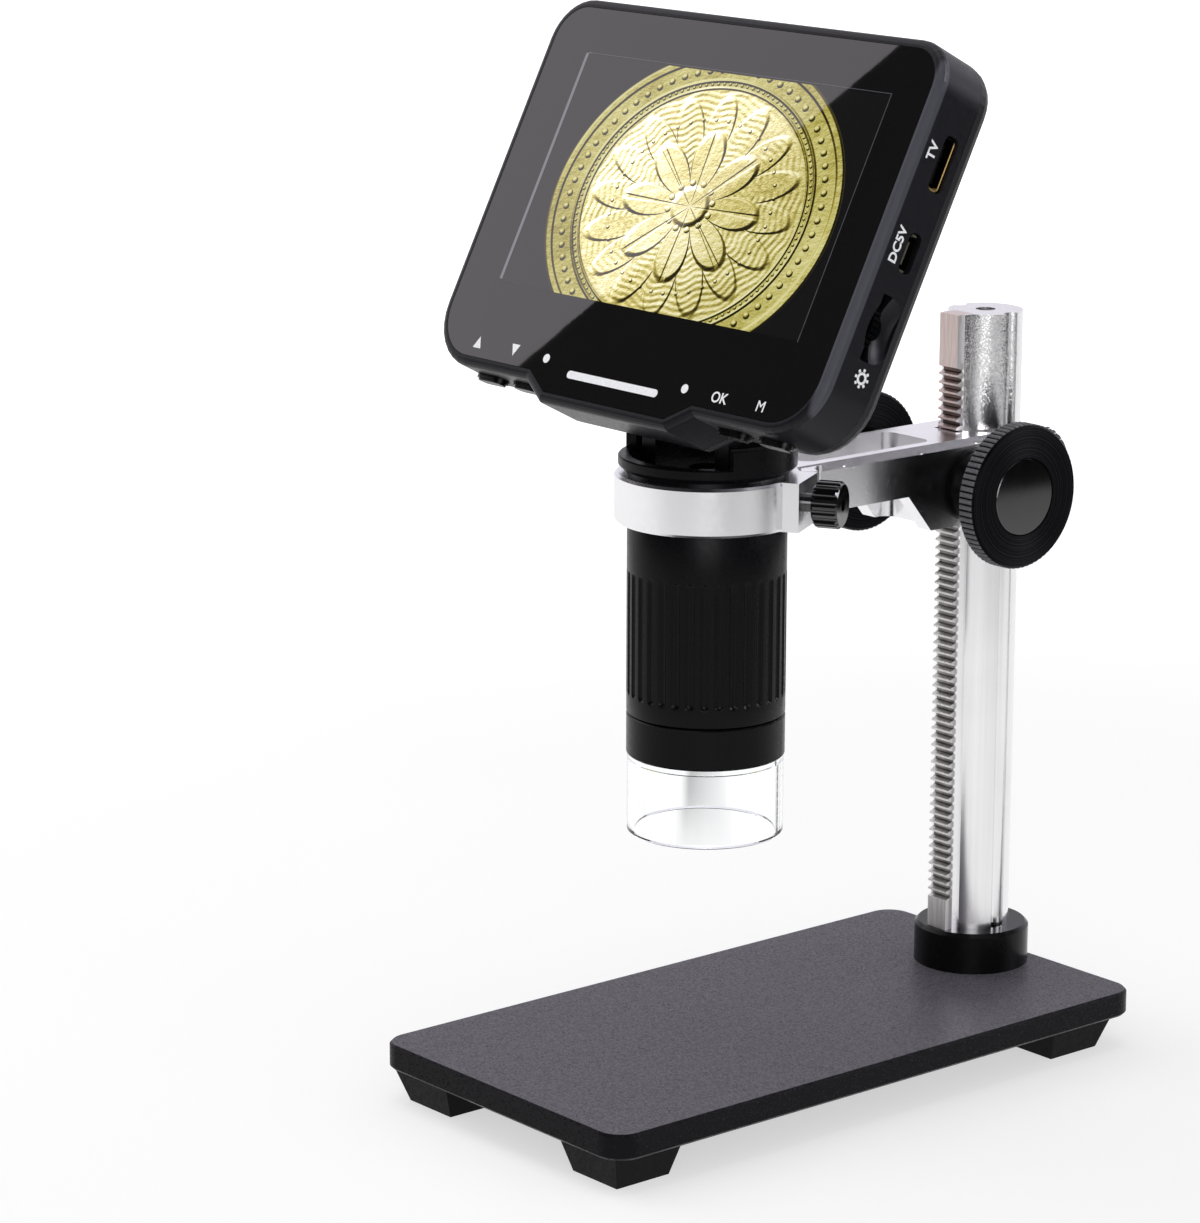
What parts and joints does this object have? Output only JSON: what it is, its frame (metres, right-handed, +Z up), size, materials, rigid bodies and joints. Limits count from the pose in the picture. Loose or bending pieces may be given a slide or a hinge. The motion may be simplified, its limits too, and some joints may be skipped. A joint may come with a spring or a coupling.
{
  "type": "lcd digital microscope",
  "caption": "Desktop digital microscope with a hinged display on a focusing tube, carried by an arm that climbs a geared pole on a flat base.",
  "frame": {"origin": "middle of the bounding box in X and Y, on the surface that the feet stand on", "axes": "+X to the operator's right, +Y from the base's front edge to the pole, +Z up along the pole"},
  "size_m": [0.123, 0.1618, 0.2346],
  "materials": {
    "base_paint": "fine-grained black powder coat",
    "foot_rubber": "matt moulded rubber",
    "screw_steel": "plain steel",
    "collar_black": "semi-gloss black",
    "pole_aluminium": "drawn, satin",
    "rack_steel": "milled, slightly brown",
    "arm_cast": "blasted casting, satin",
    "bush_plastic": "natural acetal",
    "bush_bronze": "oil-filled sintered",
    "shaft_steel": "ground",
    "knob_black": "turned face, knurled rim",
    "cap_black": "smooth, satin",
    "thumb_black": "ribbed, glossy",
    "tube_black": "black anodised, satin",
    "hood_clear": "clear acrylic",
    "lamp_board": "white solder resist",
    "lamp": "yellow phosphor",
    "lens_glass": "coated, polished",
    "lens_metal": "black anodised",
    "board_green": "solder resist",
    "chip_black": "moulded",
    "housing_black": "fine satin moulding",
    "cover_black": "fine texture",
    "screen_glass": "black-printed, glossy",
    "panel_grey": "display panel",
    "cell_grey": "laminated foil pouch",
    "contact_gold": "plated shell",
    "contact_tin": "plated shell",
    "wheel_black": "knurled",
    "dimmer_blue": "moulded",
    "switch_grey": "moulded",
    "button_black": "smooth",
    "bracket_black": "black anodised"
  },
  "bodies": {
    "stand": {"base_plate": "base_paint", "feet": "foot_rubber", "foot_screws": "screw_steel", "pole_collar": "collar_black", "collar_grub_screw": "screw_steel", "pole": "pole_aluminium", "pole_bolt": "screw_steel", "rack": "rack_steel"},
    "carriage": {"arm": "arm_cast", "pole_bushes": "bush_plastic", "shaft_bushes": "bush_bronze", "lock_pad": "bush_bronze"},
    "focus_shaft": {"pinion_shaft": "shaft_steel", "knob_right": "knob_black", "knob_left": "knob_black", "knob_caps": "cap_black", "knob_grub_screws": "screw_steel"},
    "clamp_screw": {"clamp_screw": "thumb_black"},
    "lock_screw": {"lock_screw": "thumb_black"},
    "tube": {"tube_head": "tube_black", "core_tube": "lens_metal", "nose_ring": "tube_black", "led_board": "lamp_board", "leds": "lamp", "hood": "hood_clear", "sensor_board": "board_green", "image_sensor": "chip_black", "hinge_pin": "screw_steel"},
    "focus_sleeve": {"focus_sleeve": "tube_black"},
    "lens_carriage": {"lens_barrel": "lens_metal", "front_lens": "lens_glass", "rear_lens": "lens_glass", "drive_pin": "screw_steel"},
    "screen": {"front_case": "housing_black", "rear_cover": "cover_black", "cover_glass": "screen_glass", "lcd_panel": "panel_grey", "main_board": "board_green", "board_chips": "chip_black", "battery": "cell_grey", "hdmi_port": "contact_gold", "power_port": "contact_tin", "card_socket": "contact_tin", "dimmer_body": "dimmer_blue", "switches": "switch_grey", "case_screws": "screw_steel", "hinge_bracket": "bracket_black", "bracket_screws": "screw_steel"},
    "dimmer_wheel": {"dimmer_wheel": "wheel_black"},
    "up_button": {"up_button": "button_black"},
    "down_button": {"down_button": "button_black"},
    "ok_button": {"ok_button": "button_black"},
    "menu_button": {"menu_button": "button_black"}
  },
  "joints": [
    {"name": "focus_slide", "type": "slide", "parent": "stand", "child": "carriage", "axis": [0, 0, 1], "range_m": [-0.046, 0.022]},
    {"name": "focus_shaft_turn", "type": "hinge", "parent": "carriage", "child": "focus_shaft", "pos_m": [0, 0.04635, 0.1289], "axis": [1, 0, 0], "range_deg": [-400, 832]},
    {"name": "clamp_screw_turn", "type": "hinge", "parent": "carriage", "child": "clamp_screw", "pos_m": [0, -0.0221, 0.1341], "axis": [0.866, 0.5, 0], "range_deg": [0, 180]},
    {"name": "lock_screw_turn", "type": "hinge", "parent": "carriage", "child": "lock_screw", "pos_m": [0, 0.0602, 0.1289], "axis": [0, 1, 0], "range_deg": [0, 180]},
    {"name": "tube_swivel", "type": "hinge", "parent": "carriage", "child": "tube", "pos_m": [0, -0.0221, 0.1341], "axis": [0, 0, 1], "range_deg": [-15, 15]},
    {"name": "screen_tilt", "type": "hinge", "parent": "tube", "child": "screen", "pos_m": [0, -0.0221, 0.153], "axis": [1, 0, 0], "range_deg": [-35, 15]},
    {"name": "sleeve_turn", "type": "hinge", "parent": "tube", "child": "focus_sleeve", "pos_m": [0, -0.0221, 0.1076], "axis": [0, 0, 1], "range_deg": [-152, 152]},
    {"name": "lens_travel", "type": "slide", "parent": "tube", "child": "lens_carriage", "axis": [0, 0, 1], "range_m": [-0.003, 0.003]},
    {"name": "dimmer_turn", "type": "hinge", "parent": "screen", "child": "dimmer_wheel", "pos_m": [0.0536, -0.0308, 0.17902], "axis": [0, -0.8878, 0.4602], "range_deg": [-135, 135]},
    {"name": "up_press", "type": "slide", "parent": "screen", "child": "up_button", "axis": [0, 0.4602, 0.8878], "range_m": [0, 0.0005], "stiffness_N_per_m": 1500, "springref_m": -0.0003},
    {"name": "down_press", "type": "slide", "parent": "screen", "child": "down_button", "axis": [0, 0.4602, 0.8878], "range_m": [0, 0.0005], "stiffness_N_per_m": 1500, "springref_m": -0.0003},
    {"name": "ok_press", "type": "slide", "parent": "screen", "child": "ok_button", "axis": [0, 0.4602, 0.8878], "range_m": [0, 0.0005], "stiffness_N_per_m": 1500, "springref_m": -0.0003},
    {"name": "menu_press", "type": "slide", "parent": "screen", "child": "menu_button", "axis": [0, 0.4602, 0.8878], "range_m": [0, 0.0005], "stiffness_N_per_m": 1500, "springref_m": -0.0003}
  ],
  "couplings": [
    {"joint": "focus_shaft_turn", "follows": "focus_slide", "rad_per_m": -314.16},
    {"joint": "sleeve_turn", "follows": "lens_travel", "rad_per_m": 872.66}
  ]
}
